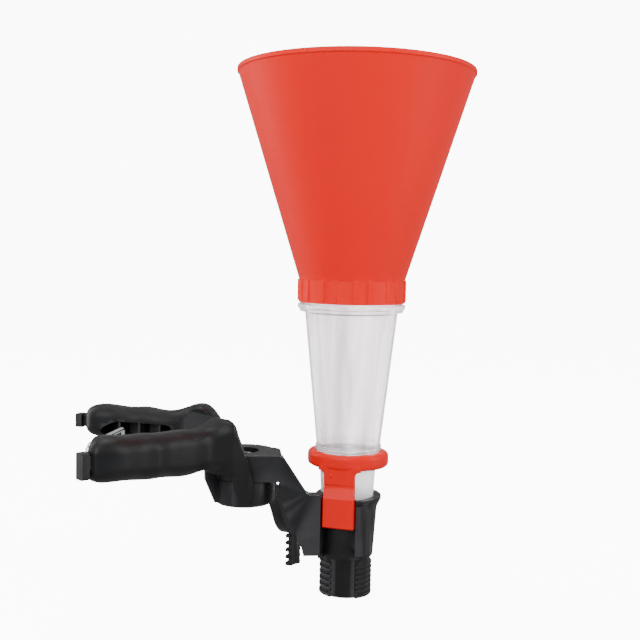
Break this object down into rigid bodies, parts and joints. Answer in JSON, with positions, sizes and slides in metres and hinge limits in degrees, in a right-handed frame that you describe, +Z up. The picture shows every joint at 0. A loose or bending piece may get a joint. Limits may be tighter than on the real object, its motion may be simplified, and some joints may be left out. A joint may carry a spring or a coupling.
{
  "type": "oil filling funnel with clamp",
  "caption": "Oil filling funnel: cone screwed on a clear twist-valve cup whose keyed spout sits in a two-lever clamp that spreads inside a filler neck.",
  "frame": {"origin": "centre of the nose's lower end, on the funnel's axis", "axes": "+Z up the funnel's axis, +X away from the handles, +Y towards the spreading finger's side"},
  "size_m": [0.2412, 0.1563, 0.312],
  "materials": {
    "black_nylon": "satin",
    "red_plastic": "satin",
    "red_ring_plastic": "gloss",
    "clear_plastic": "gloss",
    "translucent_plastic": "satin",
    "white_acetal": "satin",
    "black_rubber": "matte",
    "pale_silicone": "satin",
    "zinc_steel": "satin",
    "spring_steel": "satin",
    "bright_wire": "polished"
  },
  "bodies": {
    "clamp": {"tube_lever": "black_nylon", "torsion_spring": "spring_steel", "pivot_bolt": "zinc_steel", "bolt_head_washer": "zinc_steel", "nut_washer": "zinc_steel", "pivot_nut": "zinc_steel", "pivot_sleeve": "zinc_steel", "knuckle_washer": "white_acetal"},
    "squeeze_lever": {"squeeze_lever": "black_nylon"},
    "latch": {"latch_ring": "bright_wire"},
    "valve_body": {"valve_ring": "red_ring_plastic", "spout": "translucent_plastic", "spout_o_rings": "black_rubber", "valve_seat": "white_acetal", "valve_gasket": "pale_silicone", "valve_screw": "zinc_steel", "valve_wave_washer": "spring_steel"},
    "cup": {"clear_cup": "clear_plastic", "cup_o_ring": "pale_silicone"},
    "cap_seal": {"funnel_gasket": "black_rubber"},
    "funnel": {"funnel_cone": "red_plastic"}
  },
  "joints": [
    {"name": "squeeze", "type": "hinge", "parent": "clamp", "child": "squeeze_lever", "pos_m": [-0.062, -0.006, 0.071], "axis": [0, 0, -1], "range_deg": [0, 35], "stiffness_Nm_per_rad": 0.6, "springref_deg": -28.65, "deforming": ["torsion_spring"]},
    {"name": "latch_swing", "type": "hinge", "parent": "squeeze_lever", "child": "latch", "pos_m": [-0.13863, -0.07722, 0.0953], "axis": [0, 0, 1], "range_deg": [0, 60]},
    {"name": "spout_lift", "type": "slide", "parent": "clamp", "child": "valve_body", "axis": [0, 0, 1], "range_m": [0, 0.065]},
    {"name": "valve_turn", "type": "hinge", "parent": "valve_body", "child": "cup", "pos_m": [0, 0, 0.0826], "axis": [0, 0, 1], "range_deg": [0, 90]},
    {"name": "thread_rise", "type": "slide", "parent": "cup", "child": "cap_seal", "axis": [0, 0, 1], "range_m": [0, 0.005]},
    {"name": "funnel_unscrew", "type": "hinge", "parent": "cap_seal", "child": "funnel", "pos_m": [0, 0, 0.182], "axis": [0, 0, 1], "range_deg": [0, 450]}
  ],
  "couplings": [
    {"joint": "latch_swing", "follows": "squeeze", "ratio": 1.7143},
    {"joint": "thread_rise", "follows": "funnel_unscrew", "m_per_rad": 0.00063662}
  ]
}
